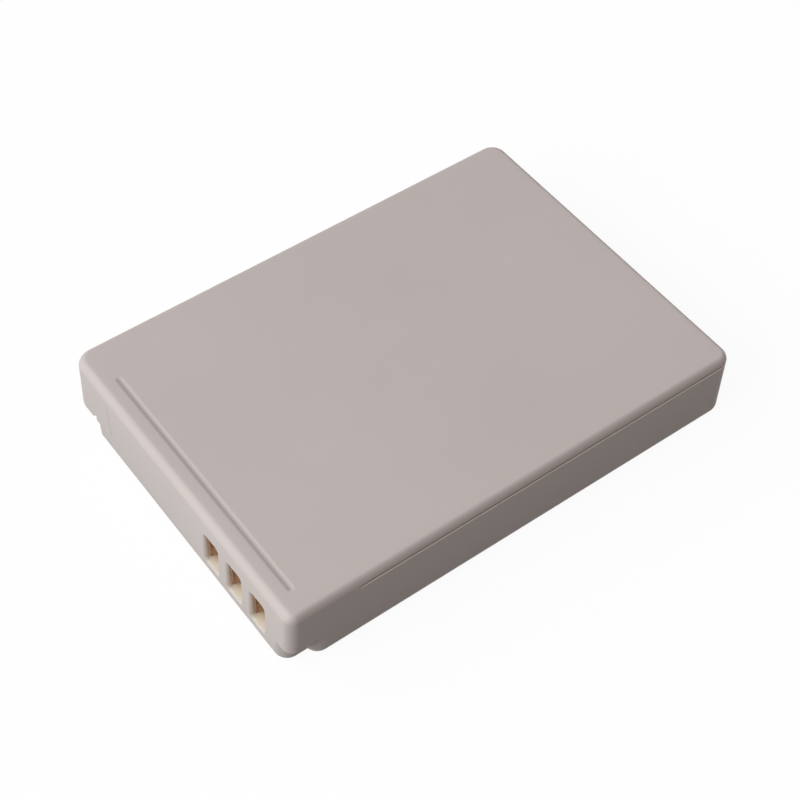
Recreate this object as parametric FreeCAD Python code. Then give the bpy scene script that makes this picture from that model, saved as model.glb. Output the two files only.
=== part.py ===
"""Flat rechargeable battery pack of a hand-held medical device.

The frame: +Y runs from the contact end to the far end, +X is the side of the
contact windows, +Z is up, and the origin is at the middle of the underside.
All sizes are in millimetres.
"""
import FreeCAD, Part
import math
import os

Vector = FreeCAD.Vector

# Outside of the pack
body_length = 44.8
body_width = 32.0
body_height = 7.4
left_corner_radius = 1.5
right_corner_radius = 1.25
near_corner_radius = 0.95
top_edge_radius = 0.65
bottom_edge_radius = 1.2
edge_share = 0.96
end_lean = 0.25
cover_height = 0.75

# Walls of the two shells
side_wall = 0.8
end_wall = 1.2
far_wall = 0.8
floor_wall = 0.6
inner_corner_radius = 0.6

# Lip of the cover, which drops inside the walls of the case
lip_height = 0.7
lip_thickness = 0.4
lip_clearance = 0.05

# Open seam under the cover, from a little way behind the contact end
seam_setback = 6.6
seam_slot_height = 0.1
seam_slot_depth = 0.25
seam_chamfer = 0.2

# Cross groove in the cover
groove_length = 25.6
groove_width = 0.5
groove_depth = 0.18
groove_setback = 2.1
groove_inset = 2.2

# Keying notches at the lower corners of the contact end
notch_length = 2.2
left_notch_inset = 3.35
left_notch_height = 1.8
left_root_rise = 1.1
left_root_run = 1.1
left_foot_radius = 0.8
left_toe_radius = 0.7
right_notch_inset = 0.85
right_notch_height = 2.6
right_toe_radius = 1.25
notch_return_radius = 1.25
notch_wall = 0.7
left_overhang_radius = 0.6
right_overhang_radius = 0.3

# Contact windows in the end wall, counted from the one next to the corner
window_count = 3
window_width = 1.88
window_pitch = 3.25
window_inset = 4.35
window_sill = 1.8
window_lintel = 1.5
window_corner_radius = 0.35
window_rim_radius = 0.25
window_frame_share = 1.5

# Contacts and the board that carries them
contact_overlap = 0.25
contact_thickness = 0.3
contact_corner_radius = 0.3
cheek_thickness = 0.2
cheek_clearance = 0.03
cheek_setback = 0.3
cheek_end_share = 0.9
board_thickness = 0.6
board_clearance = 0.15
board_corner_radius = 0.3
board_rib_height = 0.4
board_rib_width = 0.8
board_rib_length = 16.0

# Parts soldered to the back of the board, in a row
row_margin = 0.6
row_gap = 0.5
package_length = 2.9
package_width = 1.6
package_height = 1.0
package_stand_off = 0.1
package_edge = 0.12
lead_count = 3
lead_pitch = 0.95
lead_width = 0.4
lead_thickness = 0.15
lead_reach = 0.6
lead_foot = 0.35
chip_length = 1.6
chip_width = 0.8
chip_height = 0.5
chip_cap = 0.3
chip_cap_step = 0.03
chip_stack_gap = 0.7

# Sealed cell and what is fixed to its cap
head_space = 4.3
tape_thickness = 0.12
tape_margin = 3.0
pad_thickness = 0.5
pad_margin = 3.0
cell_side_gap = 0.15
cell_edge_radius = 1.6
cell_end_radius = 0.5
cap_recess = 0.15
cap_rim = 0.5
insulator_thickness = 0.12
insulator_clearance = 0.1
insulator_window = 0.3
seal_length = 3.6
seal_width = 2.0
seal_height = 0.3
stud_length = 2.6
stud_width = 1.4
stud_height = 0.3
plug_radius = 0.6
plug_height = 0.12
plug_offset = 8.4

# Nickel tabs, thermal breaker and spacer
tab_thickness = 0.15
tab_width = 2.4
tab_foot = 2.4
tab_bend_radius = 0.2
breaker_length = 3.2
breaker_width = 2.6
breaker_height = 1.0
breaker_edge = 0.15
breaker_gap = 1.0
spacer_height = 0.9
spacer_length = 15.0
spacer_pocket = 1.8
spacer_rib = 0.6

# Levels and faces that the pieces share
x_side = body_width / 2
y_contact = -body_length / 2
y_far = body_length / 2
z_seam = body_height - cover_height
tightest_corner = min(left_corner_radius, right_corner_radius, right_toe_radius, notch_return_radius)
foot_edge_radius = min(bottom_edge_radius, edge_share * tightest_corner)
y_wall = y_contact + end_wall
y_board_front = y_wall + contact_thickness
y_board_back = y_board_front + board_thickness
y_rim = y_wall + head_space
y_cap = y_rim + cap_recess
y_insulator = y_cap - insulator_thickness
y_cell_end = y_far - far_wall - pad_thickness
x_cavity = x_side - side_wall
x_cell = x_cavity - lip_clearance - lip_thickness - cell_side_gap
z_cell_low = floor_wall + tape_thickness
z_cell_high = z_seam - tape_thickness
z_cell_mid = (z_cell_low + z_cell_high) / 2
x_notch_left = -x_side + left_notch_inset
x_notch_right = x_side - right_notch_inset
y_notch = y_contact + notch_length
y_guard = y_notch + notch_return_radius
z_root_left = left_notch_height + left_root_rise
z_hinge = min(left_notch_height, right_notch_height)
lean_angle = math.degrees(math.atan(end_lean / (body_height - z_hinge)))
z_window_high = z_seam - window_lintel
x_board_left = x_notch_left + notch_wall + board_clearance
x_board_right = x_notch_right - notch_wall - board_clearance
z_board_high = z_seam - board_rib_height
z_board_mid = (floor_wall + z_board_high) / 2


def rounded_wire(corners):
    """Closed outline in the XY plane; each corner is (x, y, radius), radius 0 is sharp."""
    count = len(corners)
    entries = []
    for index, (x, y, radius) in enumerate(corners):
        corner = Vector(x, y, 0)
        before = Vector(*corners[index - 1][:2], 0) - corner
        after = Vector(*corners[(index + 1) % count][:2], 0) - corner
        before.normalize()
        after.normalize()
        half_angle = before.getAngle(after) / 2
        reach = radius / math.tan(half_angle)
        middle = before + after
        middle.normalize()
        bulge = radius / math.sin(half_angle) - radius
        arc = (corner + before * reach, corner + middle * bulge, corner + after * reach)
        entries.append((arc, radius))
    edges = []
    for index, (arc, radius) in enumerate(entries):
        if radius > 0:
            edges.append(Part.Arc(*arc).toShape())
        end = arc[2]
        following = entries[(index + 1) % count][0][0]
        if end.distanceToPoint(following) > 1e-7:
            edges.append(Part.LineSegment(end, following).toShape())
    return Part.Wire(edges)


def prism(corners, z_low, z_high):
    """Upright solid on an outline in plan."""
    solid = Part.Face(rounded_wire(corners)).extrude(Vector(0, 0, z_high - z_low))
    solid.translate(Vector(0, 0, z_low))
    return solid


def standing_prism(corners, y_low, y_high):
    """Solid on an outline in the XZ plane, running along Y."""
    solid = Part.Face(rounded_wire(corners)).extrude(Vector(0, 0, y_high - y_low))
    solid.rotate(Vector(0, 0, 0), Vector(1, 0, 0), 90)
    solid.translate(Vector(0, y_high, 0))
    return solid


def rectangle(x_low, x_high, y_low, y_high, radius=0):
    corners = [(x_low, y_low), (x_high, y_low), (x_high, y_high), (x_low, y_high)]
    return [(x, y, radius) for x, y in corners]


def block(x_low, x_high, y_low, y_high, z_low, z_high):
    size = (x_high - x_low, y_high - y_low, z_high - z_low)
    return Part.makeBox(*size, Vector(x_low, y_low, z_low))


def level_edges(solid, z):
    """Edges that lie wholly at one height."""
    return [edge for edge in solid.Edges if all(abs(end.Point.z - z) < 1e-6 for end in edge.Vertexes)]


def cross_edges(solid, y):
    """Edges that lie wholly in one cross section of the pack."""
    return [edge for edge in solid.Edges if all(abs(end.Point.y - y) < 1e-6 for end in edge.Vertexes)]


def plan_outline(inset=0):
    """Outline of the pack in plan, moved inwards by one distance on every side."""
    left = left_corner_radius - inset
    right = right_corner_radius - inset
    return [
        (-x_side + inset, y_contact + inset, left),
        (x_side - inset, y_contact + inset, right),
        (x_side - inset, y_far - inset, right),
        (-x_side + inset, y_far - inset, left),
    ]


def write(node, shape):
    shape.exportStep("parts/" + node + ".step")


def window_centres():
    """X of each contact window, from the inner one to the one next to the corner."""
    outermost = x_side - window_inset
    return [outermost - window_pitch * step for step in reversed(range(window_count))]


def window_outline(centre, overlap, radius):
    half = window_width / 2 + overlap
    return rectangle(centre - half, centre + half, window_sill - overlap, z_window_high + overlap, radius)


def before_the_end():
    """Space in front of the contact end, which leans back from the roof of the notches upwards."""
    points = [
        Vector(-body_width, y_contact, z_hinge),
        Vector(-body_width, y_contact + end_lean, body_height),
        Vector(-body_width, y_contact - body_length, body_height),
        Vector(-body_width, y_contact - body_length, z_hinge),
    ]
    return Part.Face(Part.makePolygon(points + points[:1])).extrude(Vector(2 * body_width, 0, 0))


def round_end_corner(solid, x, radius):
    """Rounds the edge where the leaning contact end meets the long side at x."""
    corner = [
        edge
        for edge in solid.Edges
        if all(abs(end.Point.x - x) < 1e-6 for end in edge.Vertexes)
        and edge.CenterOfMass.y < y_contact + end_lean
    ]
    return solid.makeFillet(radius, corner)


def leaning_block(z_low, z_high):
    """Body of the pack between two heights, from the roof of the notches upwards."""
    outline = [
        (-x_side, y_contact, 0),
        (x_side, y_contact, 0),
        (x_side, y_far, right_corner_radius),
        (-x_side, y_far, left_corner_radius),
    ]
    body = prism(outline, z_low, z_high).cut(before_the_end())
    body = round_end_corner(body, -x_side, left_corner_radius)
    return round_end_corner(body, x_side, near_corner_radius)


def cover_lip():
    """Rim under the cover that locates it inside the walls of the case, open at the contact end."""
    outside = side_wall + lip_clearance
    inside = outside + lip_thickness
    y_end = y_far - far_wall - lip_clearance
    z_low = z_seam - lip_height
    outer = block(-x_side + outside, x_side - outside, y_rim, y_end, z_low, z_seam)
    inner = block(-x_side + inside, x_side - inside, y_rim, y_end - lip_thickness, z_low, z_seam)
    lip = outer.cut(inner)
    y_corner = y_end - inner_corner_radius
    for x_corner in (-x_side + outside, x_side - outside - inner_corner_radius):
        x_clear = x_corner + inner_corner_radius
        lip = lip.cut(block(x_corner, x_clear, y_corner, y_end, z_low, z_seam))
    return lip


def build_cover():
    """Lid with a rounded top edge, one cross groove, a locating lip and a rib that holds the board down."""
    lid = leaning_block(z_seam, body_height)
    lid = lid.makeFillet(top_edge_radius, level_edges(lid, body_height))
    x_end = x_side - groove_inset
    y_middle = y_contact + groove_setback
    half = groove_width / 2
    groove = rectangle(x_end - groove_length, x_end, y_middle - half, y_middle + half, edge_share * half)
    lid = lid.cut(prism(groove, body_height - groove_depth, body_height))
    x_rib = (x_board_left + x_board_right - board_rib_length) / 2
    y_rib = y_board_front + board_rib_width
    rib = block(x_rib, x_rib + board_rib_length, y_board_front, y_rib, z_board_high, z_seam)
    return lid.fuse([cover_lip(), rib]).removeSplitter()


def upper_half(z_low, edge_radius, x_low, x_high):
    """One half of the body above its notch, with a rounded edge round the overhanging underside."""
    body = leaning_block(z_low, z_seam)
    body = body.makeFillet(edge_radius, level_edges(body, z_low))
    return body.common(block(x_low, x_high, y_contact, y_far, 0, z_seam))


def foot_rounding():
    """What is missing from a sharp lower edge where the toe meets the left notch."""
    x_axis = x_notch_left + left_foot_radius
    corner = block(x_notch_left, x_axis, y_contact, y_notch, 0, left_foot_radius)
    axis_start = Vector(x_axis, y_contact, left_foot_radius)
    return corner.cut(Part.makeCylinder(left_foot_radius, notch_length, axis_start, Vector(0, 1, 0)))


def root_slope():
    """Wedge that makes the roof of the left notch rise towards its root."""
    points = [
        Vector(x_notch_left - left_root_run, y_contact, left_notch_height),
        Vector(x_notch_left, y_contact, z_root_left),
        Vector(x_notch_left, y_contact, left_notch_height),
    ]
    return Part.Face(Part.makePolygon(points + points[:1])).extrude(Vector(0, notch_length, 0))


def build_toe(z_high):
    """Narrow front of the foot between the two notches, rounded below at its front and its right side."""
    outline = [
        (x_notch_left, y_contact, 0),
        (x_notch_right, y_contact, right_toe_radius),
        (x_notch_right, y_guard, 0),
        (x_notch_left, y_guard, 0),
    ]
    toe = prism(outline, 0, z_high)
    lower = [
        edge
        for edge in level_edges(toe, 0)
        if edge.CenterOfMass.x > x_notch_left + 1e-6 and edge.CenterOfMass.y < y_guard - 1e-6
    ]
    toe = toe.makeFillet(foot_edge_radius, lower)
    left_end = rectangle(x_notch_left, x_side, y_contact, y_guard)
    left_end[0] = (x_notch_left, y_contact, left_toe_radius)
    return toe.common(prism(left_end, 0, z_high)).cut(foot_rounding()).cut(before_the_end())


def build_foot(z_high):
    """Lower part of the case behind the notches, rounded below all the way round."""
    outline = [
        (-x_side, y_notch, notch_return_radius),
        (x_side, y_notch, notch_return_radius),
        (x_side, y_far, right_corner_radius),
        (-x_side, y_far, left_corner_radius),
    ]
    foot = prism(outline, 0, z_high)
    return foot.makeFillet(foot_edge_radius, level_edges(foot, 0))


def case_outside():
    """Body above the two notches, on a foot whose toe is set in at both of them."""
    left = upper_half(left_notch_height, left_overhang_radius, -x_side, 0).cut(root_slope())
    right = upper_half(right_notch_height, right_overhang_radius, 0, x_side)
    z_foot = max(z_root_left + left_overhang_radius, right_notch_height + right_overhang_radius)
    return build_foot(z_foot).fuse([build_toe(z_foot), left, right]).removeSplitter()


def case_cavity():
    """Room inside the case, open at the top, that leaves a wall around both notches."""
    outline = rectangle(-x_cavity, x_cavity, y_wall, y_far - far_wall, inner_corner_radius)
    room = prism(outline, floor_wall, z_seam)
    left = block(-x_side, x_notch_left + notch_wall, y_contact, y_guard, 0, z_root_left + notch_wall)
    right = block(x_notch_right - notch_wall, x_side, y_contact, y_guard, 0, right_notch_height + notch_wall)
    return room.cut(left).cut(right)


def seam_recess():
    """Narrow slot under the cover with a slanted lower lip, round the sides and the far end."""
    z_slot = z_seam - seam_slot_height
    z_low = z_slot - seam_chamfer
    ring = prism(plan_outline(), z_low, z_seam)
    slanted = prism(plan_outline(), floor_wall, z_slot)
    slanted = slanted.makeChamfer(seam_chamfer, level_edges(slanted, z_slot))
    core = prism(plan_outline(seam_slot_depth), z_low, z_seam)
    y_start = y_contact + seam_setback
    behind = block(-body_width, body_width, y_start, y_far + body_length, 0, body_height)
    return ring.cut(slanted).cut(core).common(behind)


def window_cutter(centre):
    """Opening square to the leaning end wall, whose outer rim is rounded."""
    y_inside = y_wall + end_lean
    opening = standing_prism(window_outline(centre, 0, window_corner_radius), y_contact, y_inside)
    margin = window_frame_share * window_rim_radius
    frame = standing_prism(window_outline(centre, margin, 0), y_contact, y_inside)
    surround = frame.cut(opening)
    z_middle = (window_sill + z_window_high) / 2
    x_reach = window_width / 2 + margin / 2
    z_reach = (z_window_high - window_sill) / 2 + margin / 2
    rim = [
        edge
        for edge in cross_edges(surround, y_contact)
        if abs(edge.CenterOfMass.x - centre) < x_reach and abs(edge.CenterOfMass.z - z_middle) < z_reach
    ]
    cutter = frame.cut(surround.makeFillet(window_rim_radius, rim))
    cutter.rotate(Vector(0, y_contact, z_hinge), Vector(1, 0, 0), -lean_angle)
    return cutter


def build_case():
    shell = case_outside().cut(case_cavity()).cut(seam_recess())
    for centre in window_centres():
        shell = shell.cut(window_cutter(centre))
    return shell.removeSplitter()


def build_contact(centre):
    """Plate clamped between the end wall and the board, with two cheeks that line the window."""
    outline = window_outline(centre, contact_overlap, contact_corner_radius)
    plate = standing_prism(outline, y_wall, y_board_front)
    reach = window_width / 2 - cheek_clearance
    y_cheek = y_contact + cheek_setback
    margin = cheek_end_share * window_corner_radius
    z_low = window_sill + margin
    z_high = z_window_high - margin
    left = block(centre - reach, centre - reach + cheek_thickness, y_cheek, y_wall, z_low, z_high)
    right = block(centre + reach - cheek_thickness, centre + reach, y_cheek, y_wall, z_low, z_high)
    return plate.fuse([left, right]).removeSplitter()


def build_board():
    outline = rectangle(x_board_left, x_board_right, floor_wall, z_board_high, board_corner_radius)
    return standing_prism(outline, y_board_front, y_board_back)


def lead(x_middle, z_body, outward):
    """One bent lead: out of the body, down to the board and out again along it."""
    y_low = y_board_back
    y_shoulder = y_board_back + package_stand_off + package_height / 2
    z_bend = z_body + outward * (lead_reach - lead_foot)
    z_end = z_body + outward * lead_reach
    thick = outward * lead_thickness
    x_low = x_middle - lead_width / 2
    points = [
        Vector(x_low, y_shoulder + lead_thickness, z_body),
        Vector(x_low, y_shoulder + lead_thickness, z_bend + thick),
        Vector(x_low, y_low + lead_thickness, z_bend + thick),
        Vector(x_low, y_low + lead_thickness, z_end),
        Vector(x_low, y_low, z_end),
        Vector(x_low, y_low, z_bend),
        Vector(x_low, y_shoulder, z_bend),
        Vector(x_low, y_shoulder, z_body),
    ]
    return Part.Face(Part.makePolygon(points + points[:1])).extrude(Vector(lead_width, 0, 0))


def build_package(x_low):
    """Moulded six-lead package on the back of the board."""
    z_low = z_board_mid - package_width / 2
    z_high = z_board_mid + package_width / 2
    y_low = y_board_back + package_stand_off
    body = block(x_low, x_low + package_length, y_low, y_low + package_height, z_low, z_high)
    package = body.makeChamfer(package_edge, cross_edges(body, y_low + package_height))
    for step in range(lead_count):
        x_lead = x_low + package_length / 2 + (step - (lead_count - 1) / 2) * lead_pitch
        package = package.fuse([lead(x_lead, z_low, -1), lead(x_lead, z_high, 1)])
    return package.removeSplitter()


def build_chip(x_low, z_middle):
    """Chip part with a cap round each end, lying on the back of the board."""
    z_low = z_middle - chip_width / 2
    z_high = z_middle + chip_width / 2
    y_high = y_board_back + chip_height
    body = block(x_low, x_low + chip_length, y_board_back, y_high - chip_cap_step, z_low + chip_cap_step,
                 z_high - chip_cap_step)
    first = block(x_low, x_low + chip_cap, y_board_back, y_high, z_low, z_high)
    second = first.copy()
    second.translate(Vector(chip_length - chip_cap, 0, 0))
    return body.fuse([first, second]).removeSplitter()


def build_chip_pair(x_low):
    """Two chips, one above the other."""
    rise = (chip_width + chip_stack_gap) / 2
    return [build_chip(x_low, z_board_mid + side * rise) for side in (-1, 1)]


def cap_outline(inset):
    """Cross section of the cell, moved inwards by one distance on every side."""
    radius = cell_edge_radius - inset
    return rectangle(-x_cell + inset, x_cell - inset, z_cell_low + inset, z_cell_high - inset, radius)


def build_cell():
    """Drawn can with rounded edges; its cap lies a little below the welded rim."""
    can = standing_prism(cap_outline(0), y_rim, y_cell_end)
    can = can.makeFillet(cell_end_radius, cross_edges(can, y_cell_end))
    return can.cut(standing_prism(cap_outline(cap_rim), y_rim, y_cap))


def stud_rectangle(length, width, radius=0.0):
    return rectangle(-length / 2, length / 2, z_cell_mid - width / 2, z_cell_mid + width / 2, radius)


def stud_face():
    return y_cap - seal_height - stud_height


def build_seal():
    outline = stud_rectangle(seal_length, seal_width, seal_width / 4)
    return standing_prism(outline, y_cap - seal_height, y_cap)


def build_stud():
    outline = stud_rectangle(stud_length, stud_width, stud_width / 4)
    return standing_prism(outline, stud_face(), y_cap - seal_height)


def cap_disc(radius, height):
    """Disc on the cap, round the filling hole."""
    return Part.makeCylinder(radius, height, Vector(plug_offset, y_cap, z_cell_mid), Vector(0, -1, 0))


def bent_tab(x_start, x_bend, x_end, y_high):
    """Strip that lies along one level, turns towards the board and lies along its back."""
    inner = tab_bend_radius
    outer = tab_bend_radius + tab_thickness
    y_low = y_board_back
    outline = [
        (x_start, y_high, 0),
        (x_start, y_high - tab_thickness, 0),
        (x_bend, y_high - tab_thickness, inner),
        (x_bend, y_low, outer),
        (x_end, y_low, 0),
        (x_end, y_low + tab_thickness, 0),
        (x_bend + tab_thickness, y_low + tab_thickness, inner),
        (x_bend + tab_thickness, y_high, outer),
    ]
    return prism(outline, z_cell_mid - tab_width / 2, z_cell_mid + tab_width / 2)


def breaker_left():
    return stud_length / 2 + breaker_gap


def build_negative_tab():
    """Flat strip from the face of the stud to the end of the breaker."""
    half = stud_width / 2
    return block(-stud_length / 2, breaker_left(), stud_face() - tab_thickness, stud_face(),
                 z_cell_mid - half, z_cell_mid + half)


def build_breaker():
    """Moulded cut-off that lies on the insulator beside the stud."""
    x_low = breaker_left()
    body = block(x_low, x_low + breaker_length, y_insulator - breaker_height, y_insulator,
                 z_cell_mid - breaker_width / 2, z_cell_mid + breaker_width / 2)
    return body.makeChamfer(breaker_edge, cross_edges(body, y_insulator - breaker_height))


def build_breaker_tab():
    x_end = x_board_right - row_margin
    return bent_tab(breaker_left() + breaker_length, x_end - tab_foot, x_end, stud_face())


def build_positive_tab():
    x_bend = x_board_left + row_margin
    return bent_tab(x_bend - tab_foot, x_bend, x_bend + tab_foot, y_cap)


def build_insulator():
    """Sheet in the recess of the cap, open at the seal, the plug and the welded tab."""
    sheet = standing_prism(cap_outline(cap_rim + insulator_clearance), y_insulator, y_cap)
    grown = 2 * insulator_window
    seal_hole = stud_rectangle(seal_length + grown, seal_width + grown)
    sheet = sheet.cut(standing_prism(seal_hole, y_insulator, y_cap))
    sheet = sheet.cut(cap_disc(plug_radius + insulator_window, insulator_thickness))
    x_bend = x_board_left + row_margin
    x_weld = x_bend - tab_foot - insulator_window
    x_clear = x_bend + tab_thickness + insulator_window
    z_reach = tab_width / 2 + insulator_window
    return sheet.cut(block(x_weld, x_clear, y_insulator, y_cap, z_cell_mid - z_reach, z_cell_mid + z_reach))


def build_spacer():
    """Bar on the floor between the board and the cell, with a row of pockets from above."""
    middle = (x_board_left + x_board_right) / 2
    x_low = middle - spacer_length / 2
    bar = block(x_low, x_low + spacer_length, y_board_back, y_rim, floor_wall, floor_wall + spacer_height)
    step = spacer_pocket + spacer_rib
    count = int((spacer_length - spacer_rib) / step)
    first = middle - (count * step - spacer_rib) / 2
    for index in range(count):
        x_pocket = first + index * step
        pocket = block(x_pocket, x_pocket + spacer_pocket, y_board_back + spacer_rib, y_rim - spacer_rib,
                       floor_wall + spacer_rib, floor_wall + spacer_height)
        bar = bar.cut(pocket)
    return bar


def build_tape(z_low):
    """Sheet of double-sided tape on a broad face of the cell."""
    return block(-x_cell + tape_margin, x_cell - tape_margin, y_rim + tape_margin, y_cell_end - tape_margin,
                 z_low, z_low + tape_thickness)


def build_pad():
    """Foam strip between the closed end of the cell and the far wall."""
    z_reach = (z_cell_high - z_cell_low) / 2 - cell_edge_radius
    return block(-x_cell + pad_margin, x_cell - pad_margin, y_cell_end, y_far - far_wall,
                 z_cell_mid - z_reach, z_cell_mid + z_reach)


def write_board_parts():
    """Row of parts on the back of the board, from the positive tab towards the contacts."""
    x = x_board_left + row_margin + tab_foot + row_gap
    capacitor, thermistor = build_chip_pair(x)
    write("filter_capacitor", capacitor)
    write("thermistor", thermistor)
    x += chip_length + row_gap
    write("protection_ic", build_package(x))
    x += package_length + row_gap
    write("filter_resistors", Part.makeCompound(build_chip_pair(x)))
    x += chip_length + row_gap
    write("switch_mosfet", build_package(x))


os.makedirs("parts", exist_ok=True)
write("case", build_case())
write("cover", build_cover())
for name, window in zip(("contact_positive", "contact_sense", "contact_negative"), window_centres()):
    write(name, build_contact(window))
write("protection_board", build_board())
write_board_parts()
write("cell_can", build_cell())
write("cell_terminal_seal", build_seal())
write("cell_terminal_stud", build_stud())
write("cell_fill_plug", cap_disc(plug_radius, plug_height))
write("cell_end_insulator", build_insulator())
write("positive_tab", build_positive_tab())
write("negative_tab", build_negative_tab())
write("thermal_breaker", build_breaker())
write("breaker_tab", build_breaker_tab())
write("spacer_bar", build_spacer())
write("case_tape", build_tape(floor_wall))
write("cover_tape", build_tape(z_cell_high))
write("end_pad", build_pad())
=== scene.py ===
"""Looks of a flat rechargeable battery pack for a hand-held medical device.

The pack's sizes and places are in millimetres, and a mesh turns into metres when its piece is
made. Relief, grain and lamps are in metres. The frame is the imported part's own: +Y from the
contact end to the far end, +X the side of the contact windows, +Z up through the cover, and
the origin in the middle of the underside.
"""

import math

import bmesh
import bpy
import numpy as np
from mathutils import Matrix, Vector


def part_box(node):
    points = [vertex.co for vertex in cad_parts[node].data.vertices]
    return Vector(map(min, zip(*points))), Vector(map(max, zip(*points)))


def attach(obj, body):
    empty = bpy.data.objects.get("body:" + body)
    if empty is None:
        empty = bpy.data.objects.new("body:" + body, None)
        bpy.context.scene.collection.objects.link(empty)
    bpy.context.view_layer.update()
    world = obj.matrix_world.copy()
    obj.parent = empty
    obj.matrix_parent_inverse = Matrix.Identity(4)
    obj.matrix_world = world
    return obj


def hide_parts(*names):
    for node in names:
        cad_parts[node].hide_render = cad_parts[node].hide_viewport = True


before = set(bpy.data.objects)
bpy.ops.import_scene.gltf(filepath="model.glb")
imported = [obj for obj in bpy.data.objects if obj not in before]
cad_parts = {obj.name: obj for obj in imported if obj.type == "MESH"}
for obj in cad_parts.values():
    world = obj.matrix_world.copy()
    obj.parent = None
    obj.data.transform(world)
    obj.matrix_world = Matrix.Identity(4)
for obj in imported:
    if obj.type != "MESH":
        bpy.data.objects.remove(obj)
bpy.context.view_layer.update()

# Cell can. A flat can of deep-drawn aluminium with a welded cap, and a small pressed plug
# in its filling hole. The drawing tool leaves fine streaks along the can.


def new_finish(name, roughness=0.5, metallic=0.0):
    """Material with one principled shader, whose plain numbers sit on its own sockets."""
    finish = bpy.data.materials.new(name)
    finish.use_nodes = True
    shader = finish.node_tree.nodes["Principled BSDF"]
    shader.inputs["Roughness"].default_value = roughness
    shader.inputs["Metallic"].default_value = metallic
    return finish, finish.node_tree, shader


def put(tree, kind, inputs, **settings):
    """One shader node, with each named input set to a number or joined to an output."""
    made = tree.nodes.new("ShaderNode" + kind)
    for key, value in settings.items():
        setattr(made, key, value)
    for socket, value in inputs.items():
        if isinstance(value, bpy.types.NodeSocket):
            tree.links.new(value, made.inputs[socket])
        else:
            made.inputs[socket].default_value = value
    return made


def place(tree, per_metre, turn=(0, 0, 0)):
    """The piece's own coordinates, turned, then multiplied by a number per metre on each axis."""
    own = put(tree, "TexCoord", {}).outputs["Object"]
    return put(tree, "Mapping", {"Vector": own, "Rotation": turn, "Scale": per_metre}).outputs["Vector"]


def grain(tree, per_metre, detail=3.0):
    """Cloudy noise between 0 and 1, with so many lumps per metre along each axis."""
    inputs = {"Vector": place(tree, per_metre), "Scale": 1.0, "Detail": detail}
    return put(tree, "TexNoise", inputs).outputs["Fac"]


def ramp_between(tree, amount, stops):
    """Colour that runs through the stops, each a position and a colour, as the amount grows."""
    ramp = put(tree, "ValToRGB", {"Fac": amount})
    while len(ramp.color_ramp.elements) < len(stops):
        ramp.color_ramp.elements.new(0.5)
    for element, (position, colour) in zip(ramp.color_ramp.elements, stops):
        element.position = position
        element.color = (*colour, 1)
    return ramp.outputs["Color"]


def shade_between(tree, amount, dark, light):
    """Colour that runs from dark to light as the amount goes from 0.3 to 0.7, where most of a grain lies."""
    return ramp_between(tree, amount, [(0.3, dark), (0.7, light)])


def spread(tree, amount, low, high):
    """A 0 to 1 amount moved to the range from low to high."""
    return put(tree, "MapRange", {"Value": amount, "To Min": low, "To Max": high}).outputs["Result"]


def emboss(tree, shader, amount, height, strength):
    """Relief of the given height, in metres, that the amount draws on the surface."""
    bump = put(tree, "Bump", {"Height": amount, "Distance": height, "Strength": strength})
    tree.links.new(bump.outputs["Normal"], shader.inputs["Normal"])


def dress(finish, *names):
    """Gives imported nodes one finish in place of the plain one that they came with."""
    for name in names:
        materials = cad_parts[name].data.materials
        materials.clear()
        materials.append(finish)


drawn_aluminium, tree, shader = new_finish("drawn aluminium", metallic=1.0)
streaks = grain(tree, (9000, 250, 9000), detail=4.0)
streaked = shade_between(tree, streaks, dark=(0.66, 0.67, 0.68), light=(0.82, 0.83, 0.84))
tree.links.new(streaked, shader.inputs["Base Color"])
tree.links.new(spread(tree, streaks, low=0.28, high=0.44), shader.inputs["Roughness"])
emboss(tree, shader, streaks, height=0.00002, strength=0.3)
dress(drawn_aluminium, "cell_can", "cell_fill_plug")

# Negative terminal and insulator. A pale moulded gasket is riveted under a nickel stud,
# and a sheet of pressed fibre covers the cap around them, so that no tab can touch the can.


def grained_finish(name, roughness, per_metre, detail, dark, light, height, strength):
    """Finish of an even roughness, whose colour and relief follow one cloudy grain."""
    finish, tree, shader = new_finish(name, roughness)
    amount = grain(tree, per_metre, detail)
    tree.links.new(shade_between(tree, amount, dark, light), shader.inputs["Base Color"])
    emboss(tree, shader, amount, height, strength)
    return finish


gasket_plastic = grained_finish(
    "gasket plastic", roughness=0.5, per_metre=(2500, 2500, 2500), detail=3.0,
    dark=(0.74, 0.73, 0.69), light=(0.82, 0.81, 0.77), height=0.00001, strength=0.3,
)
dress(gasket_plastic, "cell_terminal_seal")
pressed_fibre = grained_finish(
    "pressed fibre", roughness=0.85, per_metre=(900, 900, 9000), detail=6.0,
    dark=(0.22, 0.32, 0.35), light=(0.33, 0.44, 0.47), height=0.00003, strength=0.5,
)
dress(pressed_fibre, "cell_end_insulator")

# Nickel strips. Rolled nickel tape, bent by hand tool and resistance-welded to the can,
# to the stud, to the thermal breaker and to the board.

rolled_nickel, tree, shader = new_finish("rolled nickel", metallic=1.0)
rolling = grain(tree, (400, 400, 8000), detail=4.0)
rolled = shade_between(tree, rolling, dark=(0.58, 0.56, 0.52), light=(0.74, 0.72, 0.68))
tree.links.new(rolled, shader.inputs["Base Color"])
tree.links.new(spread(tree, rolling, low=0.24, high=0.42), shader.inputs["Roughness"])
emboss(tree, shader, rolling, height=0.00001, strength=0.4)
dress(rolled_nickel, "cell_terminal_stud", "negative_tab", "breaker_tab", "positive_tab")

# Circuit board. Glass-fibre board with a green solder mask over straight copper tracks,
# clamped upright between the end wall and the spacer bar.

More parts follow.
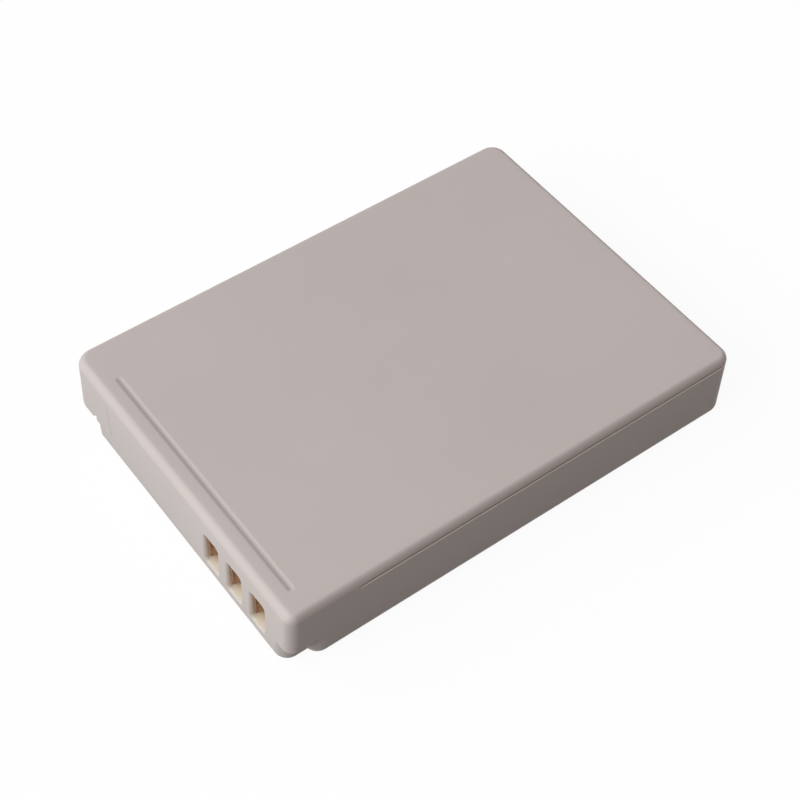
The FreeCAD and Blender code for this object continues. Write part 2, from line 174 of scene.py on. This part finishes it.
solder_mask, tree, shader = new_finish("solder mask", roughness=0.4)
upright_board = (math.radians(90), 0, 0)
tracks = put(
    tree,
    "TexBrick",
    {
        "Vector": place(tree, (700, 700, 700), upright_board),
        "Color1": (0.012, 0.085, 0.035, 1),
        "Color2": (0.014, 0.098, 0.041, 1),
        "Mortar": (0.035, 0.17, 0.075, 1),
        "Scale": 1.0,
        "Mortar Size": 0.07,
        "Brick Width": 2.4,
        "Row Height": 0.8,
    },
)
tree.links.new(tracks.outputs["Color"], shader.inputs["Base Color"])
emboss(tree, shader, tracks.outputs["Fac"], height=0.00003, strength=0.4)
dress(solder_mask, "protection_board")

# Moulded packages. Black filled epoxy round the chip, with two rows of tinned leads, and
# a thermal breaker in the same black compound.

millimetre = 0.001


def packed_box(node):
    """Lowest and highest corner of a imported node, as arrays in millimetres."""
    return [np.array(corner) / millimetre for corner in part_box(node)]


def work_out(tree, operation, *values):
    """One step of arithmetic on numbers or outputs."""
    return put(tree, "Math", dict(enumerate(values)), operation=operation).outputs[0]


def own_place(tree, axis):
    """The piece's own coordinate along one axis, in millimetres."""
    own = put(tree, "TexCoord", {}).outputs["Object"]
    return work_out(tree, "DIVIDE", put(tree, "SeparateXYZ", {"Vector": own}).outputs[axis], millimetre)


def off_middle(tree, amount, middle):
    """How far the amount lies from a middle, on either side of it."""
    return work_out(tree, "ABSOLUTE", work_out(tree, "SUBTRACT", amount, middle))


def near_either_end(tree, axis, low, high):
    """1 where the piece's own coordinate lies outside low to high, else 0."""
    distance = off_middle(tree, own_place(tree, axis), (low + high) / 2)
    return work_out(tree, "GREATER_THAN", distance, (high - low) / 2)


def tinted(tree, amount, colour, tint):
    """The colour where the amount is 0, the tint where it is 1, and a mix of them between."""
    return put(tree, "Mix", {"Factor": amount, "A": colour, "B": tint}, data_type="RGBA").outputs["Result"]


def capped_finish(name, axis, low, high, dark, light, body_roughness):
    """Body colour with a fine grain between low and high, bright tin beyond them."""
    tin_colour, tin_roughness = (0.72, 0.72, 0.70, 1), 0.3
    finish, tree, shader = new_finish(name, body_roughness)
    speckle = grain(tree, (12000, 12000, 12000))
    tin = near_either_end(tree, axis, low, high)
    body = shade_between(tree, speckle, dark, light)
    tree.links.new(tinted(tree, tin, body, tin_colour), shader.inputs["Base Color"])
    tree.links.new(tin, shader.inputs["Metallic"])
    tree.links.new(spread(tree, tin, body_roughness, tin_roughness), shader.inputs["Roughness"])
    emboss(tree, shader, speckle, height=0.00001, strength=0.5)
    return finish


lead_reach = 0.6
ic_low, ic_high = packed_box("protection_ic")
leaded_epoxy = capped_finish(
    "leaded epoxy package", "Z", ic_low[2] + lead_reach, ic_high[2] - lead_reach,
    dark=(0.012, 0.012, 0.013), light=(0.03, 0.03, 0.032), body_roughness=0.55,
)
dress(leaded_epoxy, "protection_ic", "switch_mosfet")
breaker_epoxy = grained_finish(
    "breaker epoxy", roughness=0.45, per_metre=(9000, 9000, 9000), detail=3.0,
    dark=(0.01, 0.01, 0.011), light=(0.028, 0.028, 0.03), height=0.00001, strength=0.5,
)
dress(breaker_epoxy, "thermal_breaker")

# Chip parts. Two glazed resistors, a capacitor and a thermistor of fired ceramic, each
# with tinned caps at its ends that are soldered to the board.

cap_length = 0.3
resistor_low, resistor_high = packed_box("filter_resistors")
glazed_chip = capped_finish(
    "glazed chip", "X", resistor_low[0] + cap_length, resistor_high[0] - cap_length,
    dark=(0.012, 0.012, 0.015), light=(0.022, 0.022, 0.026), body_roughness=0.3,
)
dress(glazed_chip, "filter_resistors")
capacitor_low, capacitor_high = packed_box("filter_capacitor")
fired_ceramic = capped_finish(
    "fired ceramic chip", "X", capacitor_low[0] + cap_length, capacitor_high[0] - cap_length,
    dark=(0.30, 0.19, 0.11), light=(0.37, 0.25, 0.15), body_roughness=0.5,
)
dress(fired_ceramic, "filter_capacitor", "thermistor")

# Spacer, tapes and pad. A moulded bar keeps the board against the end wall, two sheets of
# double-sided tape hold the can to the shells, and a foam strip takes up its length.

black_moulding = grained_finish(
    "black moulding", roughness=0.6, per_metre=(6000, 6000, 6000), detail=3.0,
    dark=(0.018, 0.018, 0.02), light=(0.03, 0.03, 0.033), height=0.00002, strength=0.4,
)
dress(black_moulding, "spacer_bar")
tissue_tape = grained_finish(
    "tissue tape", roughness=0.7, per_metre=(5000, 900, 900), detail=6.0,
    dark=(0.66, 0.63, 0.54), light=(0.80, 0.77, 0.68), height=0.00002, strength=0.5,
)
dress(tissue_tape, "case_tape", "cover_tape")

cell_foam, tree, shader = new_finish("closed-cell foam", roughness=0.9)
cells = put(tree, "TexVoronoi", {"Vector": place(tree, (4000, 4000, 4000)), "Scale": 1.0}).outputs["Distance"]
foamed = shade_between(tree, cells, dark=(0.012, 0.012, 0.013), light=(0.035, 0.035, 0.038))
tree.links.new(foamed, shader.inputs["Base Color"])
emboss(tree, shader, cells, height=0.0001, strength=0.7)
dress(cell_foam, "end_pad")

# Contacts. Three gold-plated plates behind the windows, each with two cheeks that line its
# window and grip the blade of the device. They are stamped, so every edge is a little round,
# and the plating's colour is darker at the front and lighter further in.


def grid_faces(rows, columns, closed):
    """Four-cornered faces between neighbours of a grid; closed joins its last column to its first."""
    index = np.arange(rows * columns).reshape(rows, columns)
    if closed:
        index = np.hstack([index, index[:, :1]])
    corners = [index[:-1, :-1], index[1:, :-1], index[1:, 1:], index[:-1, 1:]]
    return np.stack(corners, -1).reshape(-1, 4).tolist()


def rounded_block(low, high, radius, steps=4):
    """Box with round edges: a sphere of that radius, whose eight octants are moved to the box's corners."""
    low, high = np.array(low, float), np.array(high, float)
    quarter = np.linspace(0, np.pi / 2, steps + 1)
    longitude = (np.arange(4)[:, None] * np.pi / 2 + quarter).ravel()
    latitude = np.concatenate([quarter - np.pi / 2, quarter])[:, None]
    side_x = np.repeat([1, -1, -1, 1], steps + 1)
    side_y = np.repeat([1, 1, -1, -1], steps + 1)
    side_z = np.repeat([-1, 1], steps + 1)[:, None]
    shape = (len(latitude), len(longitude))
    ball = [np.cos(latitude) * np.cos(longitude), np.cos(latitude) * np.sin(longitude), np.sin(latitude)]
    ball = np.stack([np.broadcast_to(values, shape) for values in ball], -1)
    octant = np.stack([np.broadcast_to(values, shape) for values in (side_x, side_y, side_z)], -1)
    points = (low + high) / 2 + octant * ((high - low) / 2 - radius) + ball * radius
    index = np.arange(shape[0] * shape[1]).reshape(shape)
    caps = [index[0].tolist(), index[-1, ::-1].tolist()]
    return points.reshape(-1, 3), grid_faces(*shape, True) + caps


def joined(parts):
    """Several lists of points and faces as one, with the faces' numbers moved on."""
    starts = np.cumsum([0] + [len(points) for points, _ in parts]).tolist()
    faces = []
    for (_, part_faces), start in zip(parts, starts):
        faces += [[corner + start for corner in face] for face in part_faces]
    return np.concatenate([points for points, _ in parts]), faces


def new_piece(name, points, faces, finish, slot, sharp_degrees=40):
    """Mesh piece of the pack: its seams are closed, its faces point outwards, its gentle edges are smooth."""
    mesh = bpy.data.meshes.new(name)
    mesh.from_pydata((np.asarray(points) * millimetre).tolist(), [], faces)
    merge_metres = 1e-7
    work = bmesh.new()
    work.from_mesh(mesh)
    bmesh.ops.remove_doubles(work, verts=work.verts, dist=merge_metres)
    bmesh.ops.dissolve_degenerate(work, dist=merge_metres, edges=work.edges)
    bmesh.ops.recalc_face_normals(work, faces=work.faces)
    work.to_mesh(mesh)
    work.free()
    mesh.shade_smooth()
    mesh.set_sharp_from_angle(angle=math.radians(sharp_degrees))
    mesh.materials.append(finish)
    piece = bpy.data.objects.new(name, mesh)
    bpy.context.scene.collection.objects.link(piece)
    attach(piece, "root")
    return piece


def rise(tree, amount, low, high):
    """0 where the amount is low or less, 1 where it is high or more, and even between."""
    return put(tree, "MapRange", {"Value": amount, "From Min": low, "From Max": high}).outputs["Result"]


# The gold's colour is darker at the front of each contact and goes over to a lighter tone between these two
# depths.
front_dark_start, front_dark_end = -21.9, -21.5
front_darkened_gold, tree, shader = new_finish("gold plating darker at the front", metallic=1.0)
wear = grain(tree, (900, 900, 2500), detail=4.0)
front_gold = shade_between(tree, wear, dark=(0.25, 0.138, 0.086), light=(0.39, 0.235, 0.15))
plated = shade_between(tree, wear, dark=(0.44, 0.295, 0.195), light=(0.68, 0.49, 0.335))
inward = rise(tree, own_place(tree, "Y"), front_dark_start, front_dark_end)
tree.links.new(tinted(tree, inward, front_gold, plated), shader.inputs["Base Color"])
tree.links.new(spread(tree, wear, low=0.36, high=0.54), shader.inputs["Roughness"])
emboss(tree, shader, wear, height=0.00002, strength=0.3)

plate_thickness, plate_round = 0.3, 0.08
cheek_thickness, cheek_round = 0.2, 0.095
cheek_aside, cheek_above, cheek_setback = 0.28, 0.57, 0.1
for node in ("contact_positive", "contact_sense", "contact_negative"):
    low, high = packed_box(node)
    cheek_low, cheek_high = low[2] + cheek_above, high[2] - cheek_above
    cheek_front = low[1] + cheek_setback
    parts = [rounded_block((low[0], high[1] - plate_thickness, low[2]), high, plate_round)]
    for cheek_x in (low[0] + cheek_aside, high[0] - cheek_aside - cheek_thickness):
        near_corner = (cheek_x, cheek_front, cheek_low)
        far_corner = (cheek_x + cheek_thickness, high[1], cheek_high)
        parts.append(rounded_block(near_corner, far_corner, cheek_round))
    contact = new_piece("plated_" + node, *joined(parts), front_darkened_gold, "contact_gold")
    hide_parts(node)

# Case. The lower shell, one moulding in a fine satin lilac grey: a rounded underside, two keying
# notches at the contact end and three windows in its end wall. Its finish is painted paler in the windows
# with a cream painted reflection of the gold, browner deep on their sills as painted shade, and dark along
# the seam as painted shade above a thin painted highlight.


def satin_plastic(name):
    """Finely grained lilac grey plastic, a little darker towards the underside as painted shade: its nodes
    and its colour.
    """
    unshaded_height = 6.6
    finish, tree, shader = new_finish(name)
    fine = grain(tree, (7000, 7000, 7000), detail=2.0)
    broad = grain(tree, (60, 60, 60), detail=2.0)
    # Painted shade: the colour goes from a darker tone at the underside to the plain plastic's tone higher
    # up.
    upper_colour = shade_between(tree, broad, dark=(0.502, 0.446, 0.435), light=(0.520, 0.462, 0.451))
    painted_shade_colour = shade_between(tree, broad, dark=(0.450, 0.405, 0.388), light=(0.466, 0.419, 0.402))
    height = rise(tree, own_place(tree, "Z"), 0.0, unshaded_height)
    tree.links.new(spread(tree, fine, low=0.46, high=0.56), shader.inputs["Roughness"])
    shader.inputs["Specular IOR Level"].default_value = 0.2
    emboss(tree, shader, fine, height=0.000012, strength=0.35)
    return finish, tree, shader, tinted(tree, height, painted_shade_colour, upper_colour)


def fade(tree, amount, near, far):
    """1 where the amount is near or less, falling evenly to 0 at far."""
    inputs = {"Value": amount, "From Min": near, "From Max": far, "To Min": 1.0, "To Max": 0.0}
    return put(tree, "MapRange", inputs).outputs["Result"]


def inside(tree, **ranges):
    """1 where the piece's own coordinates lie inside the range that is given for each named axis, else 0."""
    within = 1.0
    for axis, (low, high) in ranges.items():
        outside = near_either_end(tree, axis, low, high)
        within = work_out(tree, "MULTIPLY", within, work_out(tree, "SUBTRACT", 1.0, outside))
    return within


def mould_line(tree):
    """1 on a fine, nearly upright line of the contact end, fading to 0 beside it and at its two ends."""
    x_foot, lean, half_width = -10.1, 0.12, 0.11
    y_front, z_low, z_high = -22.1, 2.4, 6.3
    half_length, full_share = (z_high - z_low) / 2, 0.7
    up = own_place(tree, "Z")
    leaning = work_out(tree, "MULTIPLY_ADD", up, lean, own_place(tree, "X"))
    across = fade(tree, off_middle(tree, leaning, x_foot + lean * z_low), 0.0, half_width)
    off_centre = off_middle(tree, up, (z_low + z_high) / 2)
    along = fade(tree, off_centre, full_share * half_length, half_length)
    front = work_out(tree, "LESS_THAN", own_place(tree, "Y"), y_front)
    return work_out(tree, "MULTIPLY", work_out(tree, "MULTIPLY", across, along), front)


def depth_behind_end(tree):
    """Depth in millimetres behind the leaning contact end, which grows from about 0 on its face."""
    y_foot, lean = -22.46, 0.0446
    unleaned = work_out(tree, "MULTIPLY_ADD", own_place(tree, "Z"), -lean, own_place(tree, "Y"))
    return work_out(tree, "SUBTRACT", unleaned, y_foot)


satin_housing, tree, shader, plastic = satin_plastic("satin housing plastic")

line_strength, line_grey = 0.55, (0.25, 0.24, 0.20, 1)
faint_line = spread(tree, mould_line(tree), 0.0, line_strength)
plastic = tinted(tree, faint_line, plastic, line_grey)

# Painted light in the windows: their walls take a cream painted reflection of the gold, and their sills grow
# browner and darker with depth as painted shade.
window_zone = {"X": (4.0, 12.8), "Y": (-22.5, -21.1), "Z": (1.5, 5.5)}
rim_depth, wall_depth = 0.25, 1.2
sill_height, wall_height, wall_reflection_cream = 2.0, 2.3, (0.80, 0.695, 0.58, 1)
sill_shade_stops = [(0.1, (0.67, 0.63, 0.56)), (0.5, (0.62, 0.555, 0.465)), (0.95, (0.46, 0.37, 0.28))]
depth = depth_behind_end(tree)
windows = inside(tree, **window_zone)
reveals = work_out(tree, "MULTIPLY", windows, rise(tree, depth, 0.0, rim_depth))
sill = ramp_between(tree, rise(tree, depth, 0.0, wall_depth), sill_shade_stops)
above_sill = rise(tree, own_place(tree, "Z"), sill_height, wall_height)
plastic = tinted(tree, reveals, plastic, tinted(tree, above_sill, sill, wall_reflection_cream))

# Painted light along the seam, from the side to the far end: painted shade in the gap under the cover's edge,
# and a thin painted highlight on the case's lip below it.
seam_start, seam_end = -15.8, 30.0
lip_foot, gap_foot, gap_top = 6.35, 6.43, 6.69
lip_highlight_colour, gap_shade_colour = (0.75, 0.67, 0.64, 1), (0.25, 0.22, 0.21, 1)
lip = inside(tree, Y=(seam_start, seam_end), Z=(lip_foot, gap_foot))
gap = inside(tree, Y=(seam_start, seam_end), Z=(gap_foot, gap_top))
plastic = tinted(tree, gap, tinted(tree, lip, plastic, lip_highlight_colour), gap_shade_colour)
tree.links.new(plastic, shader.inputs["Base Color"])
dress(satin_housing, "case")

# Cover. The upper shell: a flat lid with a rounded edge and one soft cross groove near the
# contact end, with a faint painted shade along it. It is moulded in the same plastic and welded
# to the case, and a lip under it finds the walls of the case.

(_, _, lip_low), (lid_side, lid_far, lid_top) = packed_box("cover")
lid_near, lid_under = -22.18, packed_box("case")[1][2]
core_inset, left_round, right_round, near_round = 1.5, 1.5, 1.25, 0.95
edge_run, near_extra, side_less = 0.65, 0.12, 0.08
edge_drop, edge_stop = 0.95, math.radians(73.5)
seam_round, under_inset, row_step = 0.06, 0.4, 0.001
groove_left, groove_right, groove_y = -11.8, 13.8, -20.28
groove_depth, groove_flat, near_reach, far_reach = 0.062, 0.03, 0.40, 0.38
close_lines, bend_points, edge_rows = 0.5, 13, 13


def lid_lines():
    """X and Y of the lid's grid lines: about 1 mm apart, and close together at the groove and its ends."""
    left_count, end_count, between_count, groove_count, rest_count = 4, 17, 25, 22, 42
    x_core, y_core = lid_side - core_inset, lid_far - core_inset
    x_left = np.linspace(-x_core, groove_left - close_lines, left_count)[:-1]
    x_left_end = np.linspace(groove_left - close_lines, groove_left + close_lines, end_count)
    x_between = np.linspace(groove_left + close_lines, groove_right - close_lines, between_count)[1:-1]
    x_right_end = np.linspace(groove_right - close_lines, groove_right + close_lines, end_count)
    y_groove = np.linspace(lid_near + core_inset, groove_y + close_lines, groove_count)
    y_rest = np.linspace(groove_y + close_lines, y_core, rest_count)[1:]
    x_lines = np.concatenate([x_left, x_left_end, x_between, x_right_end, [x_core]])
    return x_lines, np.concatenate([y_groove, y_rest])


def lid_corner(x, y, radius, start):
    """Quarter circle of the outline in plan: points, and normals that point away from its centre."""
    turn = np.radians(np.linspace(start, start + 90, bend_points))
    normal = np.stack([np.cos(turn), np.sin(turn)], 1)
    return np.array([x, y]) + radius * normal, normal


def lid_rim(x_lines, y_lines):
    """Outline in plan, against the clock from the left end of the contact end: points, normals, and the
    point of the inner rectangle that each one faces."""
    x_core, near_core, far_core = lid_side - core_inset, lid_near + core_inset, lid_far - core_inset
    right_x, left_x = lid_side - right_round, left_round - lid_side
    corners = [
        (*lid_corner(lid_side - near_round, lid_near + near_round, near_round, 270), (x_core, near_core)),
        (*lid_corner(right_x, lid_far - right_round, right_round, 0), (x_core, far_core)),
        (*lid_corner(left_x, lid_far - left_round, left_round, 90), (-x_core, far_core)),
        (*lid_corner(left_x, lid_near + left_round, left_round, 180), (-x_core, near_core)),
    ]

    def level(y):
        return np.stack([x_lines, np.full_like(x_lines, y)], 1)

    def upright(x):
        return np.stack([np.full_like(y_lines, x), y_lines], 1)

    sides = [
        (level(lid_near), (0, -1), level(near_core)),
        (upright(lid_side), (1, 0), upright(x_core)),
        (level(lid_far)[::-1], (0, 1), level(far_core)[::-1]),
        (upright(-lid_side)[::-1], (-1, 0), upright(-x_core)[::-1]),
    ]
    points, normals, cores = [], [], []
    for (side, out, core), (bend, bend_out, core_corner) in zip(sides, corners):
        points += [side, bend]
        normals += [np.tile(out, (len(side), 1)), bend_out]
        cores += [core, np.tile(core_corner, (len(bend), 1))]
    return np.concatenate(points), np.concatenate(normals).astype(float), np.concatenate(cores)


def lid_edge(x_lines, y_lines):
    """Profile carried round the outline: from the inner rectangle over the round edge and down to the seam.
    A row at an inset d stands d inside the outline along its normals. The round edge is an arc of an ellipse
    that stops short of upright; it is broader at the contact end and tighter on the windows' side."""
    points, normals, cores = lid_rim(x_lines, y_lines)
    turn = np.linspace(0, edge_stop, edge_rows)[:, None]
    run = edge_run + near_extra * np.maximum(-normals[:, 1], 0) - side_less * np.maximum(normals[:, 0], 0)
    open_seam = seam_round * (points[:, 1] > seam_start)
    down = np.radians(np.array([0, 30, 60, 90]))[:, None]
    apart = row_step * np.arange(len(down))[::-1, None]
    inset = np.concatenate(
        [
            run * (1 - np.sin(turn) / math.sin(edge_stop)),
            open_seam * (1 - np.cos(down)),
            np.full((1, len(points)), under_inset),
        ]
    )
    height = np.concatenate(
        [
            np.full((1, len(points)), lid_top),
            np.tile(lid_top - edge_drop * (1 - np.cos(turn)), (1, len(points))),
            lid_under + open_seam * (1 - np.sin(down)) + apart,
            np.full((1, len(points)), lid_under),
        ]
    )
    rows = np.concatenate([cores[None], points - normals * inset[:, :, None]])
    index = np.arange(len(rows) * len(points)).reshape(len(rows), len(points))
    under = index[-1, ::-1].tolist()
    return np.dstack([rows, height]).reshape(-1, 3), grid_faces(len(rows), len(points), True) + [under]


def lid_field(x_lines, y_lines):
    """Flat middle of the lid with the groove: the depth falls as a half cosine with the distance to a line,
    over one reach on the contact end's side and another on the far side, blended round its ends."""
    least_distance = 1e-9
    x, y = np.meshgrid(x_lines, y_lines)
    middle, half = (groove_left + groove_right) / 2, (groove_right - groove_left) / 2 - near_reach
    beyond = np.maximum(np.abs(x - middle) - half, 0)
    distance = np.hypot(beyond, y - groove_y)
    facing = (1 + (y - groove_y) / np.maximum(distance, least_distance)) / 2
    reach = near_reach + (far_reach - near_reach) * facing
    share = np.clip((distance - groove_flat) / (reach - groove_flat), 0, 1)
    z = lid_top - groove_depth * (1 + np.cos(np.pi * share)) / 2
    return np.dstack([x, y, z]).reshape(-1, 3), grid_faces(len(y_lines), len(x_lines), False)


# Painted shade along the groove, just to the contact end's side of it, fading away from it and short of its
# ends.
shade_aside, shade_reach, shade_end, shade_strength = 0.15, 0.3, 0.25, 0.3
shade_dark = (0.2, 0.18, 0.17, 1)
shaded_lid, tree, shader, plastic = satin_plastic("satin lid plastic")
beside_shade = off_middle(tree, own_place(tree, "Y"), groove_y - shade_aside)
across = fade(tree, beside_shade, 0.0, shade_reach)
along = inside(tree, X=(groove_left + shade_end, groove_right - shade_end))
shade = spread(tree, work_out(tree, "MULTIPLY", across, along), low=0.0, high=shade_strength)
tree.links.new(tinted(tree, shade, plastic, shade_dark), shader.inputs["Base Color"])

lip_side, lip_front, lip_back, lip_thickness = 15.15, -16.9, 21.55, 0.4
lip_gap, lip_round, root_depth = 0.2, 0.08, 0.1
root = lid_under + root_depth
rib_left, rib_right, rib_front, rib_back, rib_low = -6.75, 9.25, -20.9, -20.1, 6.25
side_end, far_end = lip_back - lip_thickness - lip_gap, lip_side - lip_thickness - lip_gap
under_lid = [
    ((-lip_side, lip_front, lip_low), (lip_thickness - lip_side, side_end, root)),
    ((lip_side - lip_thickness, lip_front, lip_low), (lip_side, side_end, root)),
    ((-far_end, lip_back - lip_thickness, lip_low), (far_end, lip_back, root)),
    ((rib_left, rib_front, rib_low), (rib_right, rib_back, root)),
]
lines = lid_lines()
lid_parts = [lid_edge(*lines), lid_field(*lines)]
lid_parts += [rounded_block(low, high, lip_round) for low, high in under_lid]
lid = new_piece("grooved_cover", *joined(lid_parts), shaded_lid, "housing")
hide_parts("cover")

# Studio. A white floor that still takes the pack's shadow, two broad soft lamps beyond the
# contact end and to its left, a weak low one beyond the far end, a dim even room, and a camera
# that looks down on the windows' corner.


def seen_directly(tree):
    """1 for rays from the camera, from mirror-like surfaces and through clear ones, else 0."""
    path = put(tree, "LightPath", {}).outputs
    glossy = work_out(tree, "MAXIMUM", path["Is Camera Ray"], path["Is Glossy Ray"])
    return work_out(tree, "MAXIMUM", glossy, path["Is Transmission Ray"])


floor_half, glow_share = 1500.0, 0.94
floor_bounce, paper_white, white = (0.17, 0.16, 0.14, 1), (0.95, 0.95, 0.95, 1), (1, 1, 1, 1)
floor_mesh = bpy.data.meshes.new("floor")
corners = floor_half * np.array([(-1, -1, 0), (1, -1, 0), (1, 1, 0), (-1, 1, 0)])
floor_mesh.from_pydata((corners * millimetre).tolist(), [], [(0, 1, 2, 3)])
floor = bpy.data.objects.new("floor", floor_mesh)
bpy.context.scene.collection.objects.link(floor)
white_floor, tree, shader = new_finish("white floor", roughness=0.9)
shader.inputs["Base Color"].default_value = floor_bounce
paper = put(tree, "BsdfDiffuse", {"Color": paper_white}).outputs[0]
glow = put(tree, "Emission", {"Color": white, "Strength": 1.0}).outputs[0]
bright_paper = put(tree, "MixShader", {0: glow_share, 1: paper, 2: glow}).outputs[0]
mixed = put(tree, "MixShader", {0: seen_directly(tree), 1: shader.outputs[0], 2: bright_paper})
tree.links.new(mixed.outputs[0], tree.nodes["Material Output"].inputs["Surface"])
floor_mesh.materials.append(white_floor)

room = bpy.data.worlds.new("pale room")
bpy.context.scene.world = room
room.use_nodes = True
tree = room.node_tree
dim = tree.nodes["Background"]
dim.inputs["Color"].default_value = (1, 0.87, 0.82, 1)
dim.inputs["Strength"].default_value = 0.24
backdrop = put(tree, "Background", {"Color": white, "Strength": 1.0})
mixed = put(tree, "MixShader", {0: seen_directly(tree), 1: dim.outputs[0], 2: backdrop.outputs[0]})
tree.links.new(mixed.outputs[0], tree.nodes["World Output"].inputs["Surface"])

lamp_distance, lamp_width, lamp_colour = 0.8, 0.5, (0.96, 1.0, 1.0)
lamps = {
    "front lamp": ((0.029, -0.807, 0.59), 5.15),
    "left lamp": ((-0.618, -0.519, 0.59), 2.62),
    "back lamp": ((0.0, 0.99, 0.12), 2.0),
}
for name, (direction, energy) in lamps.items():
    toward_lamp = Vector(direction).normalized()
    soft_lamp = bpy.data.lights.new(name, "AREA")
    soft_lamp.shape = "DISK"
    soft_lamp.size = lamp_width
    soft_lamp.energy = energy
    soft_lamp.color = lamp_colour
    lamp = bpy.data.objects.new(name, soft_lamp)
    bpy.context.scene.collection.objects.link(lamp)
    lamp.location = toward_lamp * lamp_distance
    lamp.rotation_euler = toward_lamp.to_track_quat("Z", "Y").to_euler()

azimuth, elevation, roll = map(math.radians, (52.74, 51.10, 1.18))
distance, aside, above = 151.36, -0.134, 0.946
focal_pixels, image_pixels = 1760.5, 800
outward = Vector((math.sin(azimuth), -math.cos(azimuth), 0))
back = outward * math.cos(elevation) + Vector((0, 0, math.sin(elevation)))
level = Vector((math.cos(azimuth), math.sin(azimuth), 0))
upright = back.cross(level)
right = level * math.cos(roll) + upright * math.sin(roll)
up = upright * math.cos(roll) - level * math.sin(roll)
lens = bpy.data.cameras.new("camera")
lens.sensor_width = 36
lens.lens = focal_pixels / image_pixels * lens.sensor_width
lens.clip_start = 0.01
camera = bpy.data.objects.new("camera", lens)
bpy.context.scene.collection.objects.link(camera)
camera.matrix_world = Matrix((right, up, back)).transposed().to_4x4()
camera.matrix_world.translation = (level * aside + upright * above + back * distance) * millimetre
bpy.context.scene.camera = camera

bpy.context.scene.view_settings.view_transform = "Standard"
